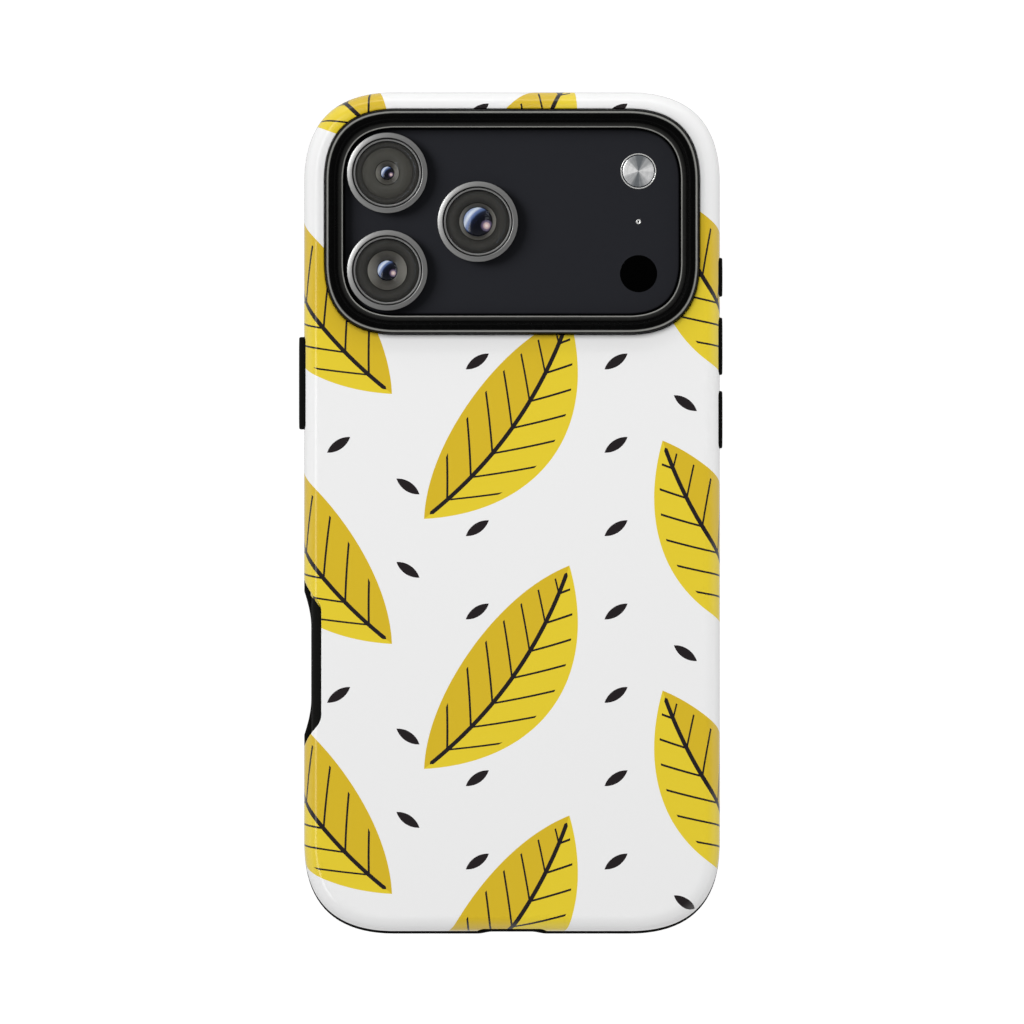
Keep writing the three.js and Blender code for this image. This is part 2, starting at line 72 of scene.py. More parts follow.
def node(tree, kind, inputs=None, stops=(), **settings):
    """Adds a shader node with its settings; an input is a value, a socket, or a node's first output.

    Stops are those of a colour ramp: a position and a colour each.
    """
    made = tree.nodes.new(kind)
    for name, value in settings.items():
        setattr(made, name, value)
    for name, value in (inputs or {}).items():
        if isinstance(value, bpy.types.Node):
            value = value.outputs[0]
        if isinstance(value, bpy.types.NodeSocket):
            tree.links.new(value, made.inputs[name])
        else:
            made.inputs[name].default_value = value
    for step, (position, colour) in enumerate(stops):
        ramp = made.color_ramp.elements
        stop = ramp[step] if step < 2 else ramp.new(position)
        stop.position = position
        stop.color = linear(colour)
    return made


def material(name, colour, **inputs):
    """A Principled material with a base colour and other inputs, whose names are joined by a _ here."""
    made = bpy.data.materials.new(name)
    made.use_nodes = True
    shader = made.node_tree.nodes["Principled BSDF"]
    shader.inputs["Base Color"].default_value = linear(colour)
    for socket, value in inputs.items():
        shader.inputs[socket.replace("_", " ")].default_value = value
    return made


def grained(name, colour, size, depth, smooth, rough, **inputs):
    """A material with fine grain: noise of the given size in mm, as a bump of depth mm and as roughness."""
    made = material(name, colour, **inputs)
    tree = made.node_tree
    shader = tree.nodes["Principled BSDF"]
    place = node(tree, "ShaderNodeTexCoord").outputs["Object"]
    noise = node(tree, "ShaderNodeTexNoise", {"Vector": place, "Scale": 1000 / size, "Detail": 3.0})
    spread = node(tree, "ShaderNodeMapRange", {
        "Value": noise.outputs["Fac"], "From Min": 0.3, "From Max": 0.7,
        "To Min": smooth, "To Max": rough})
    bump = node(tree, "ShaderNodeBump", {
        "Height": noise.outputs["Fac"], "Strength": 1.0, "Distance": depth / 1000})
    tree.links.new(spread.outputs["Result"], shader.inputs["Roughness"])
    tree.links.new(bump.outputs["Normal"], shader.inputs["Normal"])
    return made


def stations(half, step, marks=()):
    """Places along a straight side from -half to half, about a step apart, and at every mark on it."""
    regular = np.linspace(-half, half, int(2 * half / step) + 2)
    inside = [mark for mark in np.ravel(marks) if abs(mark) < half]
    return np.unique(np.round(np.concatenate([regular, inside]), 4))


def from_corner(t):
    """How far a corner curve is from the sharp corner, at a share t of it, as a share of its reach.

    It is a cubic curve whose handles stay a fixed share of the reach from the sharp corner.
    """
    handle = 0.335
    return (1 - t) ** 3 + 3 * handle * t * (1 - t) ** 2


def columns(width, length, reach, centre_y=0.0, step=3.0, bend=20, bottom=(), right=(), left=()):
    """The columns round a smooth-cornered rectangle, as rows sx, sy, u, v, ex, ey for outline().

    u and v are a corner's distances from the sharp corner, and ex and ey are how far a place on a
    straight side is past the reach. Marks get a column each: x at the bottom side, y at the right and
    the left. A mark of the bottom side that lies on a bend is followed there.
    """
    half_x = width / 2 - reach
    half_y = length / 2 - reach
    share = np.linspace(0, 1, 2001)
    past = np.array([abs(mark) for mark in bottom if abs(mark) > half_x])
    marked = np.interp(past, width / 2 - reach * from_corner(share), share)
    t = np.unique(np.concatenate([np.linspace(0, 1, bend + 2)[1:-1], marked, 1 - marked]))
    u = from_corner(t)
    v = from_corner(1 - t)
    one = np.ones_like(t)
    nil = np.zeros_like(t)

    def along_x(x, sy):
        return np.array([np.where(x < 0, -1, 1), 0 * x + sy, 0 * x + 1, 0 * x, half_x - abs(x), 0 * x])

    def along_y(y, sx):
        return np.array([0 * y + sx, np.where(y < 0, -1, 1), 0 * y, 0 * y + 1, 0 * y, half_y - abs(y)])

    return np.hstack([
        along_x(stations(half_x, step, bottom), -1),
        [one, -one, u, v, nil, nil],
        along_y(stations(half_y, step, np.array(right) - centre_y), 1),
        [one, one, v, u, nil, nil],
        along_x(stations(half_x, step)[::-1], 1),
        [-one, one, u, v, nil, nil],
        along_y(stations(half_y, step, np.array(left) - centre_y)[::-1], -1),
        [-one, -one, v, u, nil, nil],
    ])


def outline(cols, width, length, reach, inset=0.0, centre_y=0.0):
    """Points of the rectangle at the columns, moved in by the inset, which is one number or one to a row.

    x = sx (W/2 - R u - ex) and y = centre_y + sy (L/2 - R v - ey), with W/2, L/2 and the reach R made
    smaller by the inset.
    """
    sx, sy, u, v, ex, ey = cols
    curve = np.maximum(reach - inset, 0)
    inset = np.minimum(inset, min(width, length) / 2)
    x = sx * np.maximum(width / 2 - inset - curve * u - ex, 0)
    y = centre_y + sy * np.maximum(length / 2 - inset - curve * v - ey, 0)
    return x, y


def rows(*values):
    """Numbers, one to a row, to be spread over the columns."""
    return np.array(values, float).reshape(-1, 1)


def round_edge(size, steps=7):
    """A quarter-round edge, one row to a step: how far it lies in from the side, and below the top."""
    angle = np.linspace(0, np.pi / 2, steps).reshape(-1, 1)
    return size - size * np.sin(angle), size - size * np.cos(angle)


def patch(x, y, z, u=None, v=None, creased=False):
    """A grid of points that closes on itself along its columns, with its own surface map.

    The faces that follow a creased column stand apart, so the shading doesn't run over their edges.
    """
    x, y, z = np.broadcast_arrays(x, y, z)
    u = x if u is None else np.broadcast_to(u, x.shape)
    v = y if v is None else np.broadcast_to(v, x.shape)
    return np.stack([x, y, z, u, v], -1), np.broadcast_to(creased, x.shape[1])


def add_piece(name, patches, finish, slot, *nodes):
    """Makes one object of the patches, rides it on the body, and lets it stand for its CAD nodes.

    The patches are in mm. Every cell of a grid gives two triangles. Those without an area, as at a
    pole, and those with a point that has no number are left out.
    """
    no_area = 1e-6
    points = []
    faces = []
    start = 0
    for grid, creased in patches:
        high, wide = grid.shape[:2]
        flat_grid = grid.reshape(-1, 5)
        here = np.arange(high * wide).reshape(high, wide)
        after = np.roll(here, -1, axis=1)
        quads = np.stack([here[:-1], after[:-1], after[1:], here[1:]], -1)
        apart = quads[:, creased].reshape(-1, 4)
        joined = quads[:, ~creased].reshape(-1, 4)
        points += [flat_grid, flat_grid[apart.ravel()]]
        faces += [start + joined, start + high * wide + np.arange(apart.size).reshape(-1, 4)]
        start += high * wide + apart.size
    points = np.concatenate(points)
    faces = np.concatenate(faces)
    halves = np.concatenate([faces[:, [0, 1, 2]], faces[:, [0, 2, 3]]])
    first, second, third = points[halves, :3].transpose(1, 0, 2)
    area = np.linalg.norm(np.cross(second - first, third - first), axis=1) / 2
    used, corners = np.unique(halves[area > no_area], return_inverse=True)
    points = points[used]
    faces = corners.reshape(-1, 3)
    mesh = bpy.data.meshes.new(name)
    mesh.from_pydata((points[:, :3] * 0.001).tolist(), [], faces.tolist())
    mesh.uv_layers.new(name="surface").data.foreach_set("uv", points[faces.ravel(), 3:].ravel())
    mesh.polygons.foreach_set("use_smooth", np.ones(len(faces), bool))
    mesh.materials.append(finish)
    made = bpy.data.objects.new(name, mesh)
    bpy.context.scene.collection.objects.link(made)
    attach(made, "root")
    if nodes:
        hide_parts(*nodes)


def pill(distance, half_length, half_height):
    """Half the height of a slot with round ends, at a distance along it from its middle."""
    past = np.clip(abs(distance) - (half_length - half_height), 0, half_height)
    return np.where(abs(distance) < half_length, np.sqrt(half_height ** 2 - past ** 2), 0)


def cut_only(windows):
    """The half heights of a wall's windows, and no number where the wall is whole and has no faces."""
    beside = np.roll(windows, 1) + windows + np.roll(windows, -1)
    return np.where(beside > 0, windows, np.nan)


def pill_marks(centre, half_length, half_height):
    """Places along a side that follow the round ends of such a slot."""
    beside = 0.004
    end = half_length - half_height + half_height * np.sin(np.linspace(0, np.pi / 2, 9)) + beside
    return centre + np.concatenate([-end, end])


def walls(x, y):
    """Which columns lie on the charging end's wall, and which on the straight left and right walls."""
    near_end = 1.6
    straight = 66
    at_side = abs(y) < straight
    return y < y.min() + near_end, at_side & (x < 0), at_side & (x > 0)


# MIDDLE is the level of the keys, the socket and the windows.
PHONE = dict(width=78.0, length=163.2, reach=15.4)
PLATEAU = dict(width=67.16, length=37.16, reach=10.44, centre_y=58.3)
MIDDLE = 5.4
TOUCH_Y = -30.0
SOUND_X = 19.0
phone_back = 9.8
phone_front = 1.15
wall_top = 8.6
wall_low = 2.35
glass_seat = 1.95
plateau_top = 12.4
socket_window = dict(half_length=4.65, half_height=1.75)
key_window = dict(half_length=9.6, half_height=1.8)
sound_hole = dict(half_length=0.6, half_height=0.6)
screw_hole = dict(half_length=0.78, half_height=0.78)
screw_x = np.array([-5.7, 5.7])
sound_pitch = 2.4
sound_x = np.concatenate([side * SOUND_X + sound_pitch * np.arange(-2, 3) for side in (-1, 1)])

phone_columns = columns(
    **PHONE,
    bottom=np.concatenate(
        [pill_marks(0, **socket_window)]
        + [pill_marks(x, **sound_hole) for x in sound_x]
        + [pill_marks(x, **screw_hole) for x in screw_x]),
    left=pill_marks(TOUCH_Y, **key_window))

# Half the height of the windows at each column of the end wall and of the left wall.
edge_x, edge_y = outline(phone_columns, **PHONE)
at_end, at_left, _ = walls(edge_x, edge_y)
windows = at_end * pill(edge_x, **socket_window) + at_left * pill(edge_y - TOUCH_Y, **key_window)
for x in sound_x:
    windows = windows + at_end * pill(edge_x - x, **sound_hole)
for x in screw_x:
    windows = windows + at_end * pill(edge_x - x, **screw_hole)

inward, below = round_edge(phone_back - wall_top)
back_inset = np.vstack([rows(PHONE["width"] / 2, 20, 4), inward])
back_level = np.vstack([rows(phone_back, phone_back, phone_back), phone_back - below])
upper_wall = wall_top + (MIDDLE + windows - wall_top) * rows(0, 0.5, 1)
lower_wall = wall_low + (MIDDLE - windows - wall_low) * rows(1, 0.5, 0)
wall_in = rows(0, 2.2)
front_inset = np.vstack([below, rows(1.3, 1.3, 3)])
front_level = np.vstack([phone_front + inward, rows(phone_front, glass_seat, glass_seat)])

inward, below = round_edge(0.4)
plateau_columns = columns(**PLATEAU, bend=32)
plateau_inset = np.vstack([rows(PLATEAU["length"] / 2, 4, 0.6), inward, rows(0)])
plateau_level = np.vstack([rows(plateau_top, plateau_top, plateau_top), plateau_top - below, rows(9.7)])

# Anodised aluminium: a dark, slightly blue satin, with the fine even pits of bead blasting.
anodised = grained(
    "anodised aluminium", "#222328", size=0.22, depth=0.004, smooth=0.42, rough=0.56,
    Metallic=0.15, Specular_IOR_Level=0.2)

add_piece(
    "unibody",
    [
        patch(*outline(plateau_columns, inset=plateau_inset, **PLATEAU), plateau_level),
        patch(*outline(phone_columns, inset=back_inset, **PHONE), back_level),
        patch(*outline(phone_columns, **PHONE), upper_wall),
        patch(*outline(phone_columns, inset=wall_in, **PHONE), MIDDLE + cut_only(windows)),
        patch(*outline(phone_columns, inset=wall_in[::-1], **PHONE), MIDDLE - cut_only(windows)),
        patch(*outline(phone_columns, **PHONE), lower_wall),
        patch(*outline(phone_columns, inset=front_inset, **PHONE), front_level),
    ],
    anodised, "anodised_aluminium", "phone_enclosure")


# Keys: anodised aluminium bars that stand a little proud of the wall under the button covers, and one
# flush key of black polished glass in the finger scoop. Each is held in the wall from inside.
SIDE_BUTTON = dict(side=-1, y=26.0)
ACTION_BUTTON = dict(side=1, y=47.2)
VOLUME_UP = dict(side=1, y=33.4)
VOLUME_DOWN = dict(side=1, y=18.7)


def full_turn(steps):
    """Even angles round a circle."""
    return np.linspace(0, 2 * np.pi, steps, endpoint=False)


def slot_ring(half_length, half_height):
    """Points round a slot with round ends: how far along it and how far up from its middle."""
    around = full_turn(64)
    straight = (half_length - half_height) * np.sign(np.round(np.cos(around), 6))
    return straight + half_height * np.cos(around), half_height * np.sin(around)


def wall_key(name, side, y, length, height, sunk, proud, finish, slot):
    """A bar with round ends: outlines in the wall's plane, carried out along X and rounded over."""
    inward, below = round_edge(0.25, steps=6)
    radius = np.vstack([rows(height / 2), height / 2 - below, rows(0)])
    out = np.vstack([rows(-sunk), proud - inward, rows(proud)])
    along, up = slot_ring(radius + (length - height) / 2, radius)
    grid = patch(side * (PHONE["width"] / 2 + out), y + along, MIDDLE + up)
    add_piece(name + "_bar", [grid], finish, slot, name)


# Key metal: the same anodised aluminium, worn a little smoother by touch.
key_metal = grained(
    "key aluminium", "#303136", size=0.2, depth=0.004, smooth=0.3, rough=0.42, Metallic=0.85)

# Key glass: black polished glass that a fingertip slides on, with faint smears.
key_glass = grained("key glass", "#08080a", size=2.5, depth=0.0, smooth=0.06, rough=0.16, IOR=1.6)

bar = dict(height=2.8, sunk=0.75, proud=0.35, finish=key_metal, slot="button_metal")
wall_key("side_button", **SIDE_BUTTON, length=17, **bar)
wall_key("action_button", **ACTION_BUTTON, length=6.3, **bar)
wall_key("volume_up_button", **VOLUME_UP, length=10, **bar)
wall_key("volume_down_button", **VOLUME_DOWN, length=10, **bar)
wall_key("touch_key", side=-1, y=TOUCH_Y, length=19, height=3.4, sunk=0.8, proud=0,
         finish=key_glass, slot="touch_key_glass")


# Charging socket: a drawn steel sleeve with a flat tongue of contacts in it, set in the end wall
# between two small steel screws that hold the front.

def end_tube(rims, depths):
    """Slot outlines in the end wall's plane, given as half length and half height, carried along Y."""
    face_y = -81.45
    along, up = slot_ring(rims[:, :1], rims[:, 1:])
    return patch(along, face_y + depths, MIDDLE + up)


def dress(finish, *nodes):
    """Gives a material to pieces that keep their CAD shape."""
    for cad_name in nodes:
        materials = frame["nodes"][cad_name].data.materials
        materials.clear()
        materials.append(finish)


# Drawn steel: grey and fairly bright, with a fine grain.
steel = grained("drawn steel", "#8d8e90", size=0.15, depth=0.004, smooth=0.25, rough=0.4, Metallic=1.0)

sleeve = np.array(
    [[4.6, 1.7], [4.6, 1.7], [4.5, 1.6], [4.35, 1.45], [4.25, 1.35], [4.25, 1.35], [0.4, 0.0]])
tongue = np.array([[3.3, 0.35], [3.3, 0.35], [3.2, 0.25], [0.3, 0.0]])
add_piece(
    "socket_sleeve",
    [end_tube(sleeve, rows(7, 0.1, 0, 0, 0.1, 6, 6)), end_tube(tongue, rows(6, 0.8, 0.6, 0.6))],
    steel, "steel", "charging_socket")
dress(steel, "end_screw_left", "end_screw_right")


# Inner pieces: the battery, the board, the coil, the sound and motor modules, the display and the back
# panel. They lie inside the closed body and keep their CAD shapes.
dress(grained("cell pouch", "#2b2b2d", size=0.8, depth=0.01, smooth=0.45, rough=0.6), "battery")
dress(grained("circuit board", "#123a2a", size=1.2, depth=0.01, smooth=0.4, rough=0.7), "main_board")
dress(grained("wound copper", "#a8643a", size=0.3, depth=0.01, smooth=0.3, rough=0.5, Metallic=1.0),
      "charging_coil")
dress(grained("module plastic", "#17181a", size=0.4, depth=0.01, smooth=0.5, rough=0.7),
      "loudspeaker", "vibration_motor", "earpiece_speaker")
dress(grained("lens barrel plastic", "#1b1b1c", size=0.4, depth=0.01, smooth=0.4, rough=0.6),
      "front_camera")
dress(grained("display film", "#0b0b0d", size=0.3, depth=0.01, smooth=0.2, rough=0.35), "display_panel")
dress(grained("matte back glass", "#1d1e22", size=0.25, depth=0.01, smooth=0.3, rough=0.45), "back_glass")


# Front glass: one polished sheet over the whole screen, black with the display off. Its rim is rounded
# and it sits in the seat of the enclosure, just behind the front lip of the case.
GLASS = dict(width=75.2, length=160.4, reach=14.0)
glass_face = 1.0
glass_back = 1.8
inward, below = round_edge(0.25)
glass_columns = columns(**GLASS)
glass_inset = np.vstack([rows(0), below, rows(20, GLASS["width"] / 2)])
glass_level = np.vstack([rows(glass_back), glass_face + inward, rows(glass_face, glass_face)])

# Screen glass: black, polished, with a faint oil film that changes the sharpness of reflections.
screen_glass = grained("screen glass", "#050506", size=14, depth=0.0, smooth=0.02, rough=0.09, IOR=1.52)

add_piece(
    "screen",
    [patch(*outline(glass_columns, inset=glass_inset, **GLASS), glass_level)],
    screen_glass, "screen_glass", "front_glass")


# Cameras: each is a turned aluminium ring glued to the plateau, a flat cover glass seated in it, and
# under the glass a matte barrel whose face dishes in to the coated front lens.

def turned(name, section, x, y, finish, slot, *nodes, steps=128, unit=1.0):
    """A surface of revolution: (radius, level) points turned round an upright axis at x, y.

    Its surface map is measured from that axis, in the given unit.
    """
    radius, level = np.array(section, float).T[:, :, None]
    angle = full_turn(steps)
    out_x = radius * np.cos(angle)
    out_y = radius * np.sin(angle)
    grid = patch(x + out_x, y + out_y, level, out_x / unit, out_y / unit)
    add_piece(name, [grid], finish, slot, *nodes)


def fillet(radius, level, size, start, end, steps=5):
    """Points of a round edge about (radius, level), from one angle in degrees to another."""
    angle = np.radians(np.linspace(start, end, steps))
    return list(zip(radius + size * np.cos(angle), level + size * np.sin(angle)))


# Ring metal: aluminium turned on a lathe and anodised grey, satin, with a fine even grain.
ring_metal = grained(
    "turned aluminium", "#939392", size=0.18, depth=0.003, smooth=0.4, rough=0.5, Metallic=0.7)

# Barrel plastic: matte warm grey-black, with a fine moulded texture.
barrel = grained("barrel plastic", "#3b3a38", size=0.3, depth=0.001, smooth=0.55, rough=0.7)

# Face plate plastic: the same, round the wide lens, a little lighter from its finer texture.
face_plate = grained("face plate plastic", "#4a4945", size=0.2, depth=0.001, smooth=0.45, rough=0.6)

# Seat plastic: the turned seat that holds the lens in its barrel. Its fine rings throw the light to
# both sides. This sheen is painted into its colour: light at the left and right, and dark at the top
# and bottom.
seat_plastic = grained("turned seat plastic, painted sheen", "#615f5a", size=0.3, depth=0.001, smooth=0.4, rough=0.55)
tree = seat_plastic.node_tree
outward = node(tree, "ShaderNodeVectorMath", {0: node(tree, "ShaderNodeUVMap", uv_map="surface")},
               operation="NORMALIZE")
sideways = node(tree, "ShaderNodeVectorMath", {0: outward, 1: outward}, operation="MULTIPLY")
across = node(tree, "ShaderNodeSeparateXYZ", {0: sideways})
painted_sheen = node(tree, "ShaderNodeValToRGB", {"Fac": across}, stops=[(0.2, "#4c4a46"), (1.0, "#7d7b76")])
tree.links.new(painted_sheen.outputs["Color"], tree.nodes["Principled BSDF"].inputs["Base Color"])

# Gap black: the shade in the narrow gap between a seat and the face round it.
gap_black = grained(
    "gap black", "#161615", size=0.3, depth=0.001, smooth=0.7, rough=0.85, Specular_IOR_Level=0.1)

# Coated lens: several elements behind each other, near-black. A pale blue crescent of reflection on the
# lamp's side, and a small rose glint opposite with a violet halo, are painted into its colour.
lens = material("coated lens, painted reflections", "#0d0f1c", IOR=1.52, Roughness=0.05)
tree = lens.node_tree
shares = node(tree, "ShaderNodeUVMap", uv_map="surface")
from_right = node(tree, "ShaderNodeVectorMath", {0: shares, 1: (1.0, -0.8, 0.0)}, operation="DISTANCE")
crescent = node(tree, "ShaderNodeMapRange", {
    "Value": from_right.outputs["Value"], "From Min": 1.3, "From Max": 2.25})
# Painted reflection: the pale blue crescent on the lamp's side.
painted_reflection = node(tree, "ShaderNodeValToRGB", {"Fac": crescent}, stops=[
    (0.0, "#0d0f1c"), (0.3, "#171d33"), (0.54, "#6a82ba"), (0.74, "#e2ecff"), (1.0, "#a6b9e4")])
# Painted glint: the small rose glint and its violet halo, opposite the crescent.
from_painted_glint = node(tree, "ShaderNodeVectorMath", {0: shares, 1: (0.62, -0.28, 0.0)}, operation="DISTANCE")
painted_glint = node(tree, "ShaderNodeValToRGB", {"Fac": from_painted_glint.outputs["Value"]}, stops=[
    (0.0, "#fff4ee"), (0.17, "#e0c0c2"), (0.3, "#6a5c7c"), (0.46, "#000000")])
painted_reflection.color_ramp.interpolation = "EASE"
painted_glint.color_ramp.interpolation = "EASE"
both = node(
    tree, "ShaderNodeMix", {"Factor": 1.0, 6: painted_reflection, 7: painted_glint}, data_type="RGBA", blend_type="SCREEN")
tree.links.new(both.outputs[2], tree.nodes["Principled BSDF"].inputs["Base Color"])

# Cover glass: clear, polished and coated, so most light passes and a little is mirrored.
cover_glass = bpy.data.materials.new("cover glass")
cover_glass.use_nodes = True
tree = cover_glass.node_tree
tree.nodes.remove(tree.nodes["Principled BSDF"])
place = node(tree, "ShaderNodeTexCoord").outputs["Object"]
smear = node(tree, "ShaderNodeTexNoise", {"Vector": place, "Scale": 300.0})
polish_and_painted_lines = node(tree, "ShaderNodeMapRange", {
    "Value": smear.outputs["Fac"], "To Min": 0.01, "To Max": 0.05})
mirror = node(tree, "ShaderNodeBsdfGlossy", {
    "Roughness": polish_and_painted_lines.outputs["Result"], "Color": linear("#dfe6f2")})
clear = node(tree, "ShaderNodeBsdfTransparent", {"Color": linear("#fdfdfc")})
facing = node(tree, "ShaderNodeFresnel", {"IOR": 1.25})
glass = node(tree, "ShaderNodeMixShader", {"Fac": facing, 1: clear, 2: mirror})
tree.links.new(glass.outputs["Shader"], tree.nodes["Material Output"].inputs["Surface"])

# Each camera's centre, and the radii of its front lens, of the lens's seat and of the plate round that.
for name, x, y, element, seat, plate in [
    ("ultrawide", -24.95, 68.05, 1.25, 2.45, 5.0),
    ("tele", -24.95, 48.55, 1.95, 4.05, 4.05),
    ("main", -6.85, 58.3, 2.85, 3.8, 3.8),
]:
    turned(
        name + "_ring",
        [(6.75, 12.42), (8.05, 12.42)]
        + fillet(7.87, 13.84, 0.18, 0, 72) + fillet(7.13, 14.2, 0.1, 72, 180)
        + [(7.03, 12.9), (6.75, 12.9), (6.75, 12.42)],
        x, y, ring_metal, "lens_ring_metal", name + "_lens_ring")
    turned(
        name + "_retainer",
        [(6.75, 12.5)] + fillet(6.67, 13.82, 0.08, 0, 90) + [(6.5, 13.9), (6.41, 13.84), (6.41, 12.5)],
        x, y, ring_metal, "lens_ring_metal")
    turned(
        name + "_barrel",
        [(5.8, 4.0), (5.8, 12.5), (6.38, 12.5), (6.38, 12.85)]
        + [(plate, 12.85), (plate, 12.8), (seat, 12.8)],
        x, y, barrel, "barrel_plastic", name + "_camera_module")
    if plate > seat:
        turned(
            name + "_disc",
            [(plate, 12.8), (plate - 0.05, 12.88), (seat + 0.1, 12.88), (seat, 12.8)],
            x, y, face_plate, "barrel_plastic")
    turned(
        name + "_seat_gap",
        [(seat + 0.02, 12.9), (seat - 0.1, 12.9), (seat - 0.1, 12.6)],
        x, y, gap_black, "barrel_plastic")
    turned(
        name + "_lens_seat",
        [(seat - 0.1, 12.86), (element + 0.14, 12.64), (element + 0.14, 11.5)],
        x, y, seat_plastic, "barrel_plastic")
    share = np.linspace(1, 0, 12)
    dome_level = 12.6 + 0.18 * element * (1 - share ** 2)
    turned(
        name + "_lens",
        [(element, 11.5)] + list(zip(element * share, dome_level)),
        x, y, lens, "lens", name + "_front_element", steps=96, unit=element)
    turned(
        name + "_glass",
        [(0, 13.2), (6.4, 13.2)] + fillet(6.3, 13.7, 0.1, 0, 90) + [(0, 13.8)],
        x, y, cover_glass, "cover_glass", name + "_cover_glass")


# Flash: a bright bezel round a stepped lens, set flush in the plateau. The microphone's grommet and the
# black window of the depth sensor sit in line with it. All three are held by flanges under the roof.
in_line_x = 25.3
flash_y = 68.4
microphone_y = 58.3
depth_sensor_y = 47.9

# Flash reflector: bright metal behind a clear lens, spun. Its sheen is painted into its colour as spokes:
# two broad bright sectors, and fine streaks between them.
flash_metal = material("spun reflector, painted sheen", "#c5c9cc", Metallic=0.4, Roughness=0.35)
tree = flash_metal.node_tree
shares = node(tree, "ShaderNodeUVMap", uv_map="surface")
apart = node(tree, "ShaderNodeSeparateXYZ", {"Vector": shares.outputs["UV"]})
angle = node(tree, "ShaderNodeMath", {0: apart.outputs["Y"], 1: apart.outputs["X"]}, operation="ARCTAN2")
twice = node(tree, "ShaderNodeMath", {0: angle, 1: 2.0, 2: 0.35}, operation="MULTIPLY_ADD")
sector = node(tree, "ShaderNodeMath", {0: twice}, operation="COSINE")
streaks = node(
    tree, "ShaderNodeTexNoise", {"W": angle, "Scale": 1.6, "Detail": 2.0}, noise_dimensions="1D")
painted_spokes = node(
    tree, "ShaderNodeMath", {0: sector, 1: 0.36, 2: streaks.outputs["Fac"]}, operation="MULTIPLY_ADD")
painted_sheen = node(tree, "ShaderNodeValToRGB", {"Fac": painted_spokes}, stops=[(0.15, "#787c80"), (0.85, "#ffffff")])
tree.links.new(painted_sheen.outputs["Color"], tree.nodes["Principled BSDF"].inputs["Base Color"])

# Bezel metal: polished bright aluminium with the faintest haze.
bezel_metal = grained(
    "bezel aluminium", "#e4e4e2", size=0.2, depth=0.002, smooth=0.14, rough=0.24, Metallic=0.4)

# Sensor window: black polished plastic that lets only infrared through.
black_window = grained(
    "black window", "#010101", size=1.5, depth=0.0, smooth=0.1, rough=0.2, Specular_IOR_Level=0.08)

turned(
    "flash_rim",
    [(3.34, 11.3), (3.34, 12.44), (3.38, 12.48)] + fillet(3.5, 12.42, 0.06, 90, 0) + [(3.56, 11.3)],
    in_line_x, flash_y, bezel_metal, "flash_silver", "flash_bezel")
flash_radius = 3.12
share = np.linspace(1, 0, 25)
dome_level = 12.41 + 0.04 * (1 - share) + 0.02 * abs(np.sin(3 * np.pi * share))
turned(
    "flash_dome", [(flash_radius, 11.5)] + list(zip(flash_radius * share, dome_level)),
    in_line_x, flash_y, flash_metal, "flash_silver", "flash_lens")
turned(
    "microphone_ring", [(0.18, 11.4), (0.18, 12.41)] + fillet(0.44, 12.37, 0.06, 90, 0) + [(0.5, 11.4)],
    in_line_x, microphone_y, bezel_metal, "flash_silver", "microphone_grommet", steps=48)
turned(
    "microphone_gauze", [(0.3, 12.405), (0, 12.405)],
    in_line_x, microphone_y, black_window, "dark_window", steps=48)
turned(
    "depth_window", [(3.71, 11.4)] + fillet(3.68, 12.41, 0.03, 0, 90) + [(0, 12.44)],
    in_line_x, depth_sensor_y, black_window, "dark_window", "depth_sensor_window")


# Liner: a soft tray of black moulded rubber that the phone is pressed into. It stands up as a stepped
# rim round the plateau, has windows for the flush key, the socket and the sound holes, and ends at the
# front in a flange that carries the hard shell and a lip that holds the glass.
TRAY = dict(width=80.2, length=165.4, reach=16.5)
FLANGE = dict(width=83.2, length=168.4, reach=18.0)
LIP = dict(width=76.2, length=161.4, reach=14.5)
OPENING = dict(width=67.6, length=37.6, reach=10.66, centre_y=58.3)
tray_back = 10.9
tray_spring = 9.4
flange_top = 2.2
lip_top = 0.85
port_window = dict(half_length=6.4, half_height=3.2)
sound_window = dict(half_length=7.5, half_height=1.5)
finger_window = dict(half_length=10.8, half_height=3.0)


def bay_depth(distance, length, depth, ease, lead=1 / 3, tail=2 / 3, rise=0.0):
    """How deep a bay is cut at a distance from its middle.

    At each end it eases in along a cubic curve: at a share t of the curve the depth is
    d (3 rise t (1 - t)^2 + 3 t^2 (1 - t) + t^3), and the way from the bay's end is
    e (3 lead t (1 - t)^2 + 3 tail t^2 (1 - t) + t^3).
    """
    t = np.linspace(0, 1, 201)
    first = 3 * t * (1 - t) ** 2
    second = 3 * t ** 2 * (1 - t)
    from_end = ease * (lead * first + tail * second + t ** 3)
    return np.interp(length / 2 - abs(distance), from_end, depth * (rise * first + second + t ** 3))


scoop_marks = TOUCH_Y + np.linspace(-17.3, 17.3, 174)
port_marks = np.linspace(-7, 7, 57)
liner_columns = columns(
    **TRAY,
    bottom=np.concatenate(
        [port_marks, pill_marks(0, **port_window)]
        + [pill_marks(x, **sound_window) for x in (-SOUND_X, SOUND_X)]),
    left=np.concatenate([scoop_marks, pill_marks(TOUCH_Y, **finger_window)]))
tray_x, tray_y = outline(liner_columns, **TRAY)
at_end, at_left, _ = walls(tray_x, tray_y)
windows = (
    at_end * (pill(tray_x, **port_window) + pill(abs(tray_x) - SOUND_X, **sound_window))
    + at_left * pill(tray_y - TOUCH_Y, **finger_window))
recess = (
    at_left * bay_depth(
        tray_y - TOUCH_Y, length=28.7, depth=1.39, ease=7.1, lead=0.28, tail=0.65, rise=0.48)
    + at_end * bay_depth(tray_x, length=13.8, depth=0.4, ease=3))


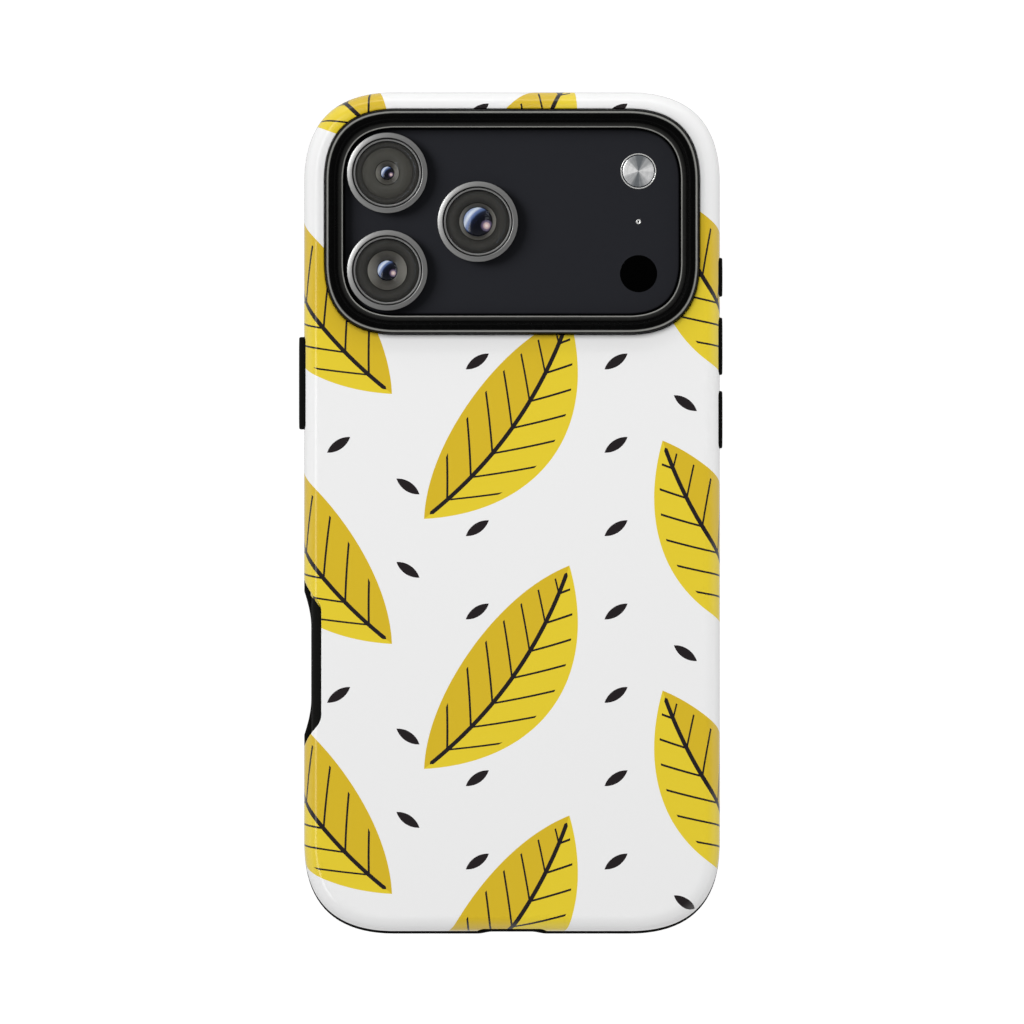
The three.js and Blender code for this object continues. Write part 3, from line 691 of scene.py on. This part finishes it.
def toward_opening(x, y, grow):
    """The points of the camera opening, grown outwards, on the rays from its middle through x, y."""
    middle_y = OPENING["centre_y"]
    rim_x, rim_y = outline(columns(**OPENING, step=0.5, bend=48), inset=-grow, **OPENING)
    bearing = np.arctan2(rim_y - middle_y, rim_x)
    distance = np.hypot(rim_x, rim_y - middle_y)
    order = np.argsort(bearing)
    ray = np.arctan2(y - middle_y, x)
    away = np.interp(ray, bearing[order], distance[order], period=2 * np.pi)
    return away * np.cos(ray), middle_y + away * np.sin(ray)


# The back of the tray runs from the camera rim to the rounding of the wall.
flat_end = 1.6
inner_x, inner_y = outline(liner_columns, inset=flat_end, **TRAY)
rim_x, rim_y = toward_opening(inner_x, inner_y, 3.4)
inward, below = round_edge(tray_back - tray_spring)
tray_inset = np.vstack([rows(flat_end), inward])
tray_level = np.vstack([rows(tray_back), tray_back - below])
upper_wall = tray_spring + (MIDDLE + windows - tray_spring) * rows(0, 0.3, 0.65, 1)
lower_wall = flange_top + (MIDDLE - windows - flange_top) * rows(1, 0.65, 0.3, 0)
wall_in = rows(0, 0.3, 0.95)

# The flange runs from the tray's wall round its own edge to the lip, and is cut back in the recesses.
tray_line = (FLANGE["width"] - TRAY["width"]) / 2
lip_line = 3.0
inward, below = round_edge(0.4, steps=6)
flange_inset = np.vstack([rows(0.9), inward, below, rows(lip_line)])
flange_inset = np.vstack([0 * recess + tray_line, np.minimum(flange_inset + recess, lip_line)])
flange_level = np.vstack([rows(flange_top, flange_top), flange_top - below, inward, rows(0)])
inward, below = round_edge(0.35, steps=6)
lip_inset = np.vstack([rows(-0.5), -inward, rows(0, -1.2)])
lip_level = np.vstack([rows(0), below, rows(lip_top, lip_top)])

# Liner rubber: soft black polyurethane, dull from the mould, with a faint even texture.
rubber = grained(
    "liner rubber", "#0d0d0c", size=0.35, depth=0.002, smooth=0.6, rough=0.75, Specular_IOR_Level=0.1)

add_piece(
    "liner",
    [
        patch(np.stack([rim_x, inner_x]), np.stack([rim_y, inner_y]), tray_back),
        patch(*outline(liner_columns, inset=tray_inset, **TRAY), tray_level),
        patch(*outline(liner_columns, **TRAY), upper_wall),
        patch(*outline(liner_columns, inset=wall_in, **TRAY), MIDDLE + cut_only(windows)),
        patch(*outline(liner_columns, inset=wall_in[::-1], **TRAY), MIDDLE - cut_only(windows)),
        patch(*outline(liner_columns, **TRAY), lower_wall),
        patch(*outline(liner_columns, inset=flange_inset, **FLANGE), flange_level),
        patch(*outline(liner_columns, inset=lip_inset, **LIP), lip_level),
    ],
    rubber, "liner_rubber", "inner_liner")


# Camera rim: the liner's stepped collar round the plateau, moulded in one with it, and polished by the
# mould. Two narrow highlight lines are painted on it: at its inner lip and at its outer shoulder.
rim_columns = columns(**OPENING, step=2.0, bend=40)
rim_section = np.array(
    [(0.0, 9.95), (0.0, 13.85)] + fillet(0.25, 13.9, 0.25, 180, 95)
    + [(0.45, 14.16), (1.3, 14.2), (1.45, 14.2), (1.52, 14.3)] + fillet(1.9, 14.42, 0.38, 170, 92)
    + [(2.5, 14.8), (2.8, 14.79)] + fillet(3.14, 14.28, 0.5, 80, 0, 9) + [(3.64, 10.8)])
steps = np.hypot(*np.diff(rim_section, axis=0).T)
run = np.concatenate([[0], np.cumsum(steps)])[:, None]
whole = float(run[-1, 0])

# The way along the section to the top of the inner lip, and to just before the outer rounding.
lip = run[5, 0]
shoulder = run[-10, 0] - 0.12

# Rim rubber: the same polyurethane, polished by the mould; the painted highlight lines, with a dim
# painted band of light beside the lip, run along its section.
rim_rubber = grained(
    "polished rubber, painted highlight lines", "#050505", size=1.5, depth=0.0002, smooth=0.22, rough=0.3, Specular_IOR_Level=0.06)
tree = rim_rubber.node_tree
across_rim = node(tree, "ShaderNodeSeparateXYZ", {
    "Vector": node(tree, "ShaderNodeUVMap", uv_map="surface").outputs["UV"]})
share = node(tree, "ShaderNodeMapRange", {"Value": across_rim.outputs["X"], "From Max": whole})
# Painted highlights: a bright line at the lip with a dim lit band beside it, and one at the shoulder.
stops = [
    (0.0, "#050505"), (lip - 0.22, "#050505"), (lip, "#92928e"), (lip + 0.2, "#272726"),
    (lip + 0.7, "#1a1a19"), (lip + 1.0, "#050505"), (shoulder - 0.27, "#060606"), (shoulder, "#92928e"),
    (shoulder + 0.27, "#0a0a0a"), (whole, "#050505")]
polish_and_painted_lines = node(tree, "ShaderNodeValToRGB", {"Fac": share.outputs["Result"]}, stops=[
    (float(way / whole), colour) for way, colour in stops])
tree.links.new(polish_and_painted_lines.outputs["Color"], tree.nodes["Principled BSDF"].inputs["Base Color"])

add_piece(
    "camera_rim",
    [patch(*outline(rim_columns, inset=-rim_section[:, :1], **OPENING), rim_section[:, 1:], run, 0.0)],
    rim_rubber, "liner_rubber")


# Button covers: raised bars of the same soft rubber, moulded in one with the liner. They lie over the
# phone's keys and stand out through the slots of the shell.

def cover(name, side, y, length, proud):
    """A soft-cornered bar: a rounded rectangle in the wall's plane, carried out along X.

    Past its rounded edge the face rises a little more to the middle.
    """
    bar = dict(width=length, length=4.8, reach=0.8)
    middle = 5.8
    root = 39.8
    face = FLANGE["width"] / 2 + proud
    inward, below = round_edge(0.35)
    inset = np.vstack([rows(0), below, rows(1.2, 2.4)])
    out = np.vstack([rows(root), face - inward, rows(face + 0.02, face + 0.04)])
    along, up = outline(columns(**bar, step=1.0, bend=8), inset=inset, **bar)
    add_piece(name, [patch(side * out, y + along, middle + up)], rubber, "liner_rubber")


cover("side_button_cover", **SIDE_BUTTON, length=18.5, proud=1.0)
cover("action_button_cover", **ACTION_BUTTON, length=7.8, proud=0.5)
cover("volume_up_cover", **VOLUME_UP, length=11.5, proud=0.5)
cover("volume_down_cover", **VOLUME_DOWN, length=11.5, proud=0.5)


# Shell: a hard glossy plate with rounded edges and side walls, snapped over the liner. It is cut back
# round the camera rim and the finger scoop, slotted for the covers and the charging end, and a little
# short at that end, where the liner's flange shows. The back is printed and clear-coated.
SHELL = dict(width=83.2, length=167.8, reach=18.0, centre_y=0.3)
INSIDE = dict(width=80.5, length=165.7, reach=16.65)
FRONT = 2.35
BACK = 12.4
EDGE = 3.0
INNER_EDGE = 1.65
SPRING = BACK - EDGE
SLOT_ROUND = 1.4
BESIDE_CUT = 0.002
cover_slot_top = 10.75

# A slot's middle and half its length, and at the charging end also its top.
slots_left = [(SIDE_BUTTON["y"], 9.6)]
slots_right = [(ACTION_BUTTON["y"], 4.25), (VOLUME_UP["y"], 6.1), (VOLUME_DOWN["y"], 6.1)]
slots_end = [(0.0, 6.9, 10.95), (-SOUND_X, 8.5, 8.75), (SOUND_X, 8.5, 8.75)]


def slot_top(distance, half, top):
    """Height of a slot that runs up from the front edge and has round top corners."""
    past = np.clip(abs(distance) - (half - SLOT_ROUND), 0, SLOT_ROUND)
    return np.where(abs(distance) < half, top - SLOT_ROUND + np.sqrt(SLOT_ROUND ** 2 - past ** 2), FRONT)


def slot_marks(centre, half):
    """Places along a side that follow a slot's round corners and stand close on both sides of its cut."""
    corner = half - SLOT_ROUND + SLOT_ROUND * np.sin(np.linspace(0, np.pi / 2, 9)) - BESIDE_CUT
    outside = [half + BESIDE_CUT, -half - BESIDE_CUT]
    return centre + np.concatenate([corner, -corner, outside])


# The finger scoop. From where its depth passes the wall's thickness it is cut through the whole wall.
SCOOP = dict(length=33.6, depth=3.47, ease=6.8, lead=0.59, tail=0.55, rise=0.4)
reach_in = np.linspace(SCOOP["length"] / 2 - SCOOP["ease"], SCOOP["length"] / 2, 401)[::-1]
through = np.interp(EDGE - INNER_EDGE, bay_depth(reach_in, **SCOOP), reach_in)
through_marks = TOUCH_Y + np.array([
    through - BESIDE_CUT, through + BESIDE_CUT, BESIDE_CUT - through, -through - BESIDE_CUT])

shell_columns = columns(
    **SHELL, step=2.0, bend=32,
    bottom=np.concatenate([slot_marks(x, half) for x, half, _ in slots_end]),
    right=np.concatenate([slot_marks(y, half) for y, half in slots_right]),
    left=np.concatenate([slot_marks(y, half) for y, half in slots_left] + [scoop_marks, through_marks]))
shell_x, shell_y = outline(shell_columns, **SHELL)
at_end, at_left, at_right = walls(shell_x, shell_y)
scoop = at_left * bay_depth(shell_y - TOUCH_Y, **SCOOP)
floor = np.full_like(shell_x, FRONT)
for y, half in slots_left:
    floor = np.where(at_left, np.maximum(floor, slot_top(shell_y - y, half, cover_slot_top)), floor)
for y, half in slots_right:
    floor = np.where(at_right, np.maximum(floor, slot_top(shell_y - y, half, cover_slot_top)), floor)
for x, half, top in slots_end:
    floor = np.where(at_end, np.maximum(floor, slot_top(shell_x - x, half, top)), floor)

# Where the scoop is deeper than the wall, the shell ends on its own inner skin.
lean = np.arcsin(np.clip((EDGE - scoop) / INNER_EDGE, 0, 1))
floor = np.where(scoop > EDGE - INNER_EDGE, np.maximum(floor, SPRING + INNER_EDGE * np.cos(lean)), floor)


def skin(length_along, edge, start, stop_inset):
    """Inset and level along a skin that runs over the flat, round an edge of that radius and down.

    It turns straight down where its inset reaches stop_inset. The flat part is start - EDGE long.
    """
    flat = start - EDGE
    bend_stop = np.arcsin(np.clip((EDGE - stop_inset) / edge, 0, 1))
    stop = np.where(stop_inset > EDGE, start - stop_inset, flat + edge * bend_stop)
    held = np.minimum(length_along, stop)
    angle = np.clip((held - flat) / edge, 0, np.pi / 2)
    inset = np.where(held < flat, start - held, EDGE - edge * np.sin(angle))
    level = SPRING + edge * np.cos(angle) - (length_along - held)
    return inset, level, stop


def skin_length(edge, start, stop_inset, low):
    """How long that skin is where it ends at the level low."""
    stop = skin(np.zeros_like(low), edge, start, stop_inset)[2]
    bend_low = np.arccos(np.clip((low - SPRING) / edge, -1, 1))
    stop_level = skin(stop, edge, start, stop_inset)[1]
    return np.where(low > stop_level, start - EDGE + edge * bend_low, stop + stop_level - low)


# The flat back ends just inside the rounding at the camera end. From the scoop to the charging end the
# skin takes over further in, and it eases from one to the other.
further_in = 1.5
ease = np.clip((15 - shell_y) / 27, 0, 1)
start = EDGE + 0.05 + further_in * (3 * ease ** 2 - 2 * ease ** 3)
outer_share = np.linspace(0, 1, 34).reshape(-1, 1)
inner_share = np.linspace(0, 1, 14).reshape(-1, 1)
outer_length = skin_length(EDGE, start, scoop, floor)
outer_run = outer_length * outer_share
step_here = abs(np.roll(outer_length, -1) - outer_length) > 1
outer_inset, outer_level, _ = skin(outer_run, EDGE, start, scoop)
inner_stop = np.maximum(scoop, EDGE - INNER_EDGE)
inner_run = skin_length(INNER_EDGE, start, inner_stop, floor) * inner_share
inner_inset, inner_level, _ = skin(inner_run, INNER_EDGE, start, inner_stop)
outer_x, outer_y = outline(shell_columns, inset=outer_inset, **SHELL)
skin_x, skin_y = outline(shell_columns, inset=inner_inset - (EDGE - INNER_EDGE), **INSIDE)
unrolled_x, unrolled_y = outline(shell_columns, inset=start - outer_run, **SHELL)

# The mouth round the camera rim: how far it is grown from the opening, and at which level.
mouth_grow = np.array([3.79, 3.79, 3.81, 3.87, 3.97])
mouth_level = np.array([11.05, 12.2, 12.3, 12.37, BACK])
mouth_x, mouth_y = np.stack(
    [toward_opening(outer_x[0], outer_y[0], grow) for grow in mouth_grow], axis=1)

# Printed shell: white polycarbonate with a two-tone leaf repeat and short strokes printed on it, under
# a gloss coat that is very slightly uneven. The pattern is worked out in the shell's unrolled map.
printed = grained(
    "printed polycarbonate", "#eeeeee", size=2.4, depth=0.0002, smooth=0.2, rough=0.24,
    IOR=1.5, Coat_Weight=0.6, Coat_Roughness=0.06)
tree = printed.node_tree


def repeat(place, cell, shift):
    """A half-drop repeat of cells whose every other column is a mirror image.

    Returns the place in its cell, measured from the cell's middle, and the same seen in the mirror.
    """
    size = np.array(cell)
    grid = node(tree, "ShaderNodeVectorMath", {
        0: place, 1: (*(1 / size), 0.0), 2: (*(shift / size), 0.0)}, operation="MULTIPLY_ADD")
    column = node(tree, "ShaderNodeVectorMath", {0: grid}, operation="FLOOR")
    paired = node(tree, "ShaderNodeVectorMath", {0: column, "Scale": 0.5}, operation="SCALE")
    halves = node(tree, "ShaderNodeVectorMath", {0: paired}, operation="FRACTION")
    odd = node(tree, "ShaderNodeSeparateXYZ", {0: halves})
    dropped = node(tree, "ShaderNodeVectorMath", {
        0: grid, 1: node(tree, "ShaderNodeCombineXYZ", {"Y": odd})}, operation="ADD")
    share = node(tree, "ShaderNodeVectorMath", {0: dropped}, operation="FRACTION")
    inside = node(tree, "ShaderNodeVectorMath", {
        0: share, 1: (*cell, 0.0), 2: (*(-size / 2), 0.0)}, operation="MULTIPLY_ADD")
    hand = node(tree, "ShaderNodeMath", {0: odd, 1: -4.0, 2: 1.0}, operation="MULTIPLY_ADD")
    mirrored = node(tree, "ShaderNodeVectorMath", {
        0: inside, 1: node(tree, "ShaderNodeCombineXYZ", {"X": hand, "Y": 1.0})}, operation="MULTIPLY")
    return inside, mirrored


def leaf_place(place):
    """The place along and across the nearest leaf of the print, whose rib is a parabola."""
    leaf = repeat(place, cell=(41.6, 50.0), shift=(20.8, 8.0))[1]
    turned_leaf = node(
        tree, "ShaderNodeVectorRotate", {"Vector": leaf, "Angle": -0.95}, rotation_type="Z_AXIS")
    along = node(tree, "ShaderNodeSeparateXYZ", {0: turned_leaf})
    squared = node(tree, "ShaderNodeMath", {0: along, 1: 2.0}, operation="POWER")
    bow = node(tree, "ShaderNodeMath", {0: squared, 1: -0.006}, operation="MULTIPLY")
    return node(tree, "ShaderNodeVectorMath", {
        0: turned_leaf, 1: node(tree, "ShaderNodeCombineXYZ", {"Y": bow})}, operation="ADD")


def pointed_oval(place, half_length, half_width):
    """1 inside a pointed oval: where two circles of the same radius overlap."""
    radius = (half_length ** 2 + half_width ** 2) / (2 * half_width)
    folded = node(tree, "ShaderNodeVectorMath", {0: place}, operation="ABSOLUTE")
    centre = (0.0, half_width - radius, 0.0)
    away = node(tree, "ShaderNodeVectorMath", {0: folded, 1: centre}, operation="DISTANCE")
    return node(tree, "ShaderNodeMath", {0: away.outputs["Value"], 1: radius}, operation="LESS_THAN")


surface = node(tree, "ShaderNodeUVMap", uv_map="surface")
on_leaf = leaf_place(surface)
blade = pointed_oval(on_leaf, half_length=25.0, half_width=10.0)
parts = node(tree, "ShaderNodeSeparateXYZ", {0: on_leaf})
shade_side = node(tree, "ShaderNodeMath", {0: parts.outputs["Y"], 1: 0.0}, operation="GREATER_THAN")
from_rib = node(tree, "ShaderNodeMath", {0: parts.outputs["Y"]}, operation="ABSOLUTE")
rib = node(tree, "ShaderNodeMath", {0: from_rib, 1: 0.42}, operation="LESS_THAN")

# Veins leave the rib at a slant, 6.4 mm apart.
slant = node(
    tree, "ShaderNodeMath", {0: from_rib, 1: -1.1, 2: parts.outputs["X"]}, operation="MULTIPLY_ADD")
to_vein = node(tree, "ShaderNodeMath", {0: slant, 1: 3.2}, operation="PINGPONG")
vein = node(tree, "ShaderNodeMath", {0: to_vein, 1: 0.29}, operation="LESS_THAN")
drawn = node(tree, "ShaderNodeMath", {0: rib, 1: vein}, operation="MAXIMUM")
drawn_area = pointed_oval(on_leaf, half_length=23.6, half_width=8.6)
lines = node(tree, "ShaderNodeMath", {0: drawn_area, 1: drawn}, operation="MULTIPLY")
shaded = node(tree, "ShaderNodeMath", {0: blade, 1: shade_side}, operation="MULTIPLY")

# A stroke is drawn only where its own middle is clear of the leaves.
in_stroke, on_stroke = repeat(surface, cell=(13.87, 16.67), shift=(0.0, 3.0))
turned_stroke = node(
    tree, "ShaderNodeVectorRotate", {"Vector": on_stroke, "Angle": 0.6}, rotation_type="Z_AXIS")
middle = node(tree, "ShaderNodeVectorMath", {0: surface, 1: in_stroke}, operation="SUBTRACT")
near_leaf = pointed_oval(leaf_place(middle), half_length=29.0, half_width=13.0)
whole_stroke = pointed_oval(turned_stroke, half_length=2.8, half_width=0.95)
stroke = node(tree, "ShaderNodeMath", {0: whole_stroke, 1: near_leaf}, operation="GREATER_THAN")

ink = linear("#eeeeee")
for where, colour in ((stroke, "#211c1e"), (blade, "#e4cb32"), (shaded, "#d5b528"), (lines, "#211c1e")):
    layer = node(tree, "ShaderNodeMix", {"Factor": where, 6: ink, 7: linear(colour)}, data_type="RGBA")
    ink = layer.outputs[2]
tree.links.new(ink, tree.nodes["Principled BSDF"].inputs["Base Color"])

add_piece(
    "printed_shell",
    [
        patch(mouth_x, mouth_y, mouth_level[:, None]),
        patch(np.stack([mouth_x[-1], outer_x[0]]), np.stack([mouth_y[-1], outer_y[0]]), BACK),
        patch(outer_x, outer_y, outer_level, unrolled_x, unrolled_y, creased=step_here),
        patch(np.stack([outer_x[-1], skin_x[-1]]), np.stack([outer_y[-1], skin_y[-1]]),
              np.stack([outer_level[-1], inner_level[-1]]), unrolled_x[-1], unrolled_y[-1], creased=True),
        patch(skin_x[::-1], skin_y[::-1], inner_level[::-1], creased=step_here),
        patch(np.stack([skin_x[0], mouth_x[0]]), np.stack([skin_y[0], mouth_y[0]]), SPRING + INNER_EDGE),
    ],
    printed, "printed_shell", "outer_shell")


# Floor: a plain white sheet that the phone lies on. It glows a little, as a sheet on a light table does,
# and is clear from below, so that the screen can be seen. It throws no light of its own on the phone.
bpy.ops.mesh.primitive_plane_add(size=3.0, location=(0.0, 0.0, -0.0002))
sheet = bpy.context.object
sheet.name = "floor"
white = grained(
    "white paper", "#fbfbfb", size=0.4, depth=0.002, smooth=0.85, rough=0.95,
    Emission_Color=linear("#ffffff"), Emission_Strength=0.85)
tree = white.node_tree
from_below = node(tree, "ShaderNodeNewGeometry").outputs["Backfacing"]
one_sided = node(tree, "ShaderNodeMixShader", {
    "Fac": from_below, 1: tree.nodes["Principled BSDF"], 2: node(tree, "ShaderNodeBsdfTransparent")})
tree.links.new(one_sided.outputs["Shader"], tree.nodes["Material Output"].inputs["Surface"])
sheet.data.materials.append(white)
sheet.visible_diffuse = False
sheet.visible_glossy = False


# Light: a pale room that is dim overhead and brighter toward the floor. An overhead lamp and two soft
# boxes, at the left and at the camera end, light the case and the cameras' insides evenly. A low lamp at
# the left lights only the plateau and what stands on it, so that the lens rings throw shadows.
world = bpy.data.worlds.new("studio")
world.use_nodes = True
tree = world.node_tree
toward = node(tree, "ShaderNodeSeparateXYZ", {
    "Vector": node(tree, "ShaderNodeTexCoord").outputs["Generated"]})
fade = node(tree, "ShaderNodeMapRange", {
    "Value": toward.outputs["Z"], "From Min": 0.3, "From Max": 0.95, "To Min": 0.8, "To Max": 0.07})
tree.nodes["Background"].inputs["Color"].default_value = linear("#ffffff")
tree.links.new(fade.outputs["Result"], tree.nodes["Background"].inputs["Strength"])
bpy.context.scene.world = world

plateau_pieces = [
    "unibody", "ultrawide_ring", "tele_ring", "main_ring", "flash_rim", "flash_dome", "microphone_ring",
    "depth_window"]
low_lit = bpy.data.collections.new("lit by the low lamp")
high_lit = bpy.data.collections.new("lit by the other lamps")
for piece in bpy.context.scene.objects:
    if piece.type == "MESH" and piece != sheet:
        group = low_lit if piece.name in plateau_pieces else high_lit
        group.objects.link(piece)


def lamp(name, place, width, height, power, lit, mirrored=True):
    """A soft lamp of that size in metres, turned to the object, for one group of pieces."""
    data = bpy.data.lights.new(name, "AREA")
    data.shape = "RECTANGLE"
    data.size = width
    data.size_y = height
    data.energy = power
    made = bpy.data.objects.new(name, data)
    made.location = place
    made.rotation_euler = (-made.location).to_track_quat("-Z", "Y").to_euler()
    made.visible_glossy = mirrored
    made.light_linking.receiver_collection = lit
    bpy.context.scene.collection.objects.link(made)


lamp("overhead_lamp", (-0.05, 0.4, 1.1), width=0.5, height=0.5, power=7.7, lit=high_lit, mirrored=False)
lamp("left_soft_box", (-0.5, 0.05, 1.03), width=1.2, height=0.22, power=1.9, lit=high_lit)
lamp("end_soft_box", (0.0, 1.04, 0.6), width=1.2, height=0.14, power=1.2, lit=high_lit)
lamp("low_lamp", (-1.0, 0.5, 0.6), width=0.6, height=0.6, power=21.0, lit=low_lit)


# Camera: straight above the back, far off with a long lens, as the photo shows no perspective. The
# picture has the photo's scale at the level of the back.
picture_width = 0.2048
distance = 8.0
back_height = 0.0124
middle_y = 0.00023
sensor_width = 36
camera_data = bpy.data.cameras.new("camera")
camera_data.sensor_width = sensor_width
camera_data.lens = sensor_width * distance / picture_width
camera_data.clip_end = 20
camera = bpy.data.objects.new("camera", camera_data)
camera.location = (0.0, middle_y, back_height + distance)
bpy.context.scene.collection.objects.link(camera)
bpy.context.scene.camera = camera
bpy.context.scene.view_settings.view_transform = "Standard"
